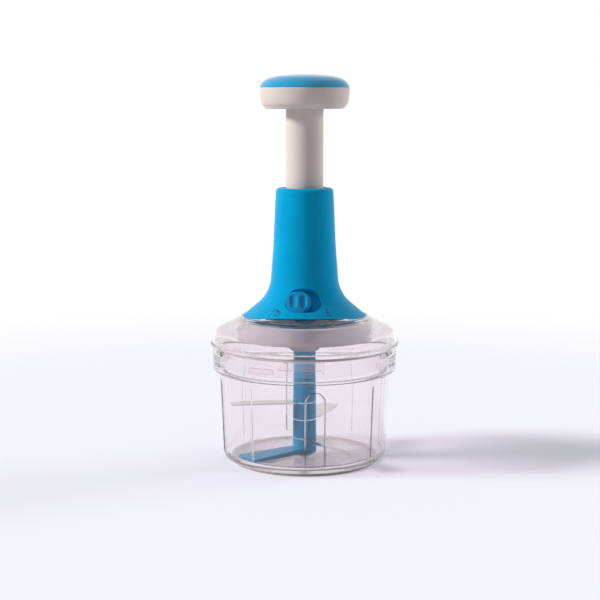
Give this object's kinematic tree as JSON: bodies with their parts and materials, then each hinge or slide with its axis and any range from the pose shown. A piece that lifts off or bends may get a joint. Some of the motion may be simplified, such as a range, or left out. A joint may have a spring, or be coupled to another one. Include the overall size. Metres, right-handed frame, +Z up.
{
  "type": "plunger food chopper",
  "caption": "Hand food chopper with a clear bowl and turn-lock lid: a sprung knob pushed down spins a blade column through a twisted rod; a slide in the handle holds it down.",
  "frame": {"origin": "centre of the foot ring's underside, on the table", "axes": "+Z up along the plunger's axis; -Y is the front, with the lock slide; +X to the right of someone who faces the slide"},
  "size_m": [0.16, 0.16, 0.328],
  "materials": {
    "clear_plastic": "clear injection-moulded plastic, polished",
    "cover_plastic": "tinted translucent plastic, satin",
    "foot_rubber": "soft non-slip ring, matt",
    "seal_rubber": "soft translucent seal, matt",
    "blue_plastic": "moulded in colour, glossy",
    "button_plastic": "moulded in colour, glossy",
    "grey_plastic": "moulded in colour, glossy",
    "white_plastic": "acetal, natural",
    "blade_steel": "fine ground, stainless",
    "bright_steel": "drawn, bright",
    "bronze": "sintered bronze"
  },
  "bodies": {
    "bowl": {"bowl": "clear_plastic", "foot_ring": "foot_rubber", "pivot_pin": "bright_steel"},
    "blade_unit": {"column_base": "blue_plastic", "blade_lower": "blade_steel", "sleeve_lower": "blue_plastic", "blade_middle": "blade_steel", "sleeve_upper": "blue_plastic", "blade_upper": "blade_steel", "column_top": "blue_plastic"},
    "seal": {"lid_seal": "seal_rubber"},
    "lid": {"lid": "clear_plastic", "drive_cover": "cover_plastic", "cover_screws": "bright_steel", "base_plate": "blue_plastic", "housing_screws": "bright_steel", "rod_bush": "bronze", "handle_shell": "blue_plastic", "guide_bush": "white_plastic", "return_spring": "bright_steel"},
    "plunger": {"plunger_tube": "grey_plastic", "spring_seat": "bright_steel", "drive_nut": "white_plastic", "knob_shell": "grey_plastic", "knob_screws": "bright_steel", "knob_cap": "blue_plastic"},
    "drive_rod": {"drive_rod": "bright_steel", "clutch_upper": "white_plastic"},
    "drive_hub": {"drive_hub": "white_plastic"},
    "lock": {"lock_plate": "white_plastic", "lock_button": "button_plastic"}
  },
  "joints": [
    {"name": "lid_lift", "type": "slide", "parent": "bowl", "child": "seal", "axis": [0, 0, 1], "range_m": [0, 0.19]},
    {"name": "lid_twist", "type": "hinge", "parent": "seal", "child": "lid", "pos_m": [0, 0, 0.1], "axis": [0, 0, 1], "range_deg": [0, 30]},
    {"name": "plunger_press", "type": "slide", "parent": "lid", "child": "plunger", "axis": [0, 0, -1], "range_m": [0, 0.062], "stiffness_N_per_m": 200, "springref_m": -0.04, "deforming": ["return_spring"]},
    {"name": "rod_spin", "type": "hinge", "parent": "lid", "child": "drive_rod", "pos_m": [0, 0, 0.13], "axis": [0, 0, 1], "range_deg": [-560, 0]},
    {"name": "hub_spin", "type": "hinge", "parent": "seal", "child": "drive_hub", "pos_m": [0, 0, 0.105], "axis": [0, 0, 1], "range_deg": [-560, 0]},
    {"name": "blade_spin", "type": "hinge", "parent": "bowl", "child": "blade_unit", "pos_m": [0, 0, 0.02], "axis": [0, 0, 1], "range_deg": [-560, 0]},
    {"name": "lock_slide", "type": "slide", "parent": "lid", "child": "lock", "axis": [1, 0, 0], "range_m": [0, 0.008]}
  ],
  "couplings": [
    {"joint": "rod_spin", "follows": "plunger_press", "rad_per_m": -157.08},
    {"joint": "hub_spin", "follows": "plunger_press", "rad_per_m": -157.08},
    {"joint": "blade_spin", "follows": "plunger_press", "rad_per_m": -157.08}
  ]
}
